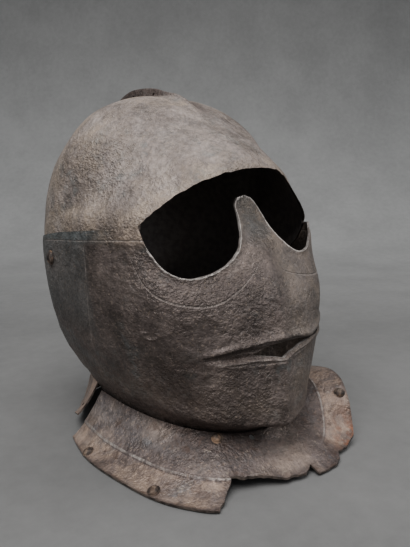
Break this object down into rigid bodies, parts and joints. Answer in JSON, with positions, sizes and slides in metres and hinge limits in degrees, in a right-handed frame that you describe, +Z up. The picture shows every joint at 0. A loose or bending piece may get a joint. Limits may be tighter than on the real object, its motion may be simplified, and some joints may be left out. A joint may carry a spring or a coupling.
{
  "type": "close helmet with mask visor",
  "caption": "Steel close helmet of the Savoyard kind: combed two-part skull, hinged face mask with two eye openings and a mouth slit, and a flared two-plate gorget with a broken front edge.",
  "frame": {"origin": "on the ground under the middle of the helmet's outline", "axes": "+Z up, the face looks along -Y, the wearer's right is -X"},
  "size_m": [0.2358, 0.319, 0.3237],
  "materials": {
    "skull_steel": "hammered steel with a light grey-brown patina and tan dust",
    "mask_steel": "finely pitted steel with a dark brown patina, green-grey in places",
    "gorget_steel": "pitted steel, grey-brown, with pale dust and rust at the border",
    "rivet_iron": "dark rusted iron"
  },
  "bodies": {
    "helmet": {"skull_right": "skull_steel", "skull_left": "skull_steel", "rear_gorget": "gorget_steel", "pivot_rivet_right": "rivet_iron", "pivot_rivet_left": "rivet_iron"},
    "visor": {"mask": "mask_steel", "front_gorget": "gorget_steel", "border_rivet_side": "rivet_iron", "border_rivet_front": "rivet_iron", "border_rivet_far": "rivet_iron", "throat_rivet": "rivet_iron"}
  },
  "joints": [
    {"name": "visor_pivot", "type": "hinge", "parent": "helmet", "child": "visor", "pos_m": [0, 0.03022, 0.16357], "axis": [-1, 0, 0], "range_deg": [0, 20]}
  ]
}
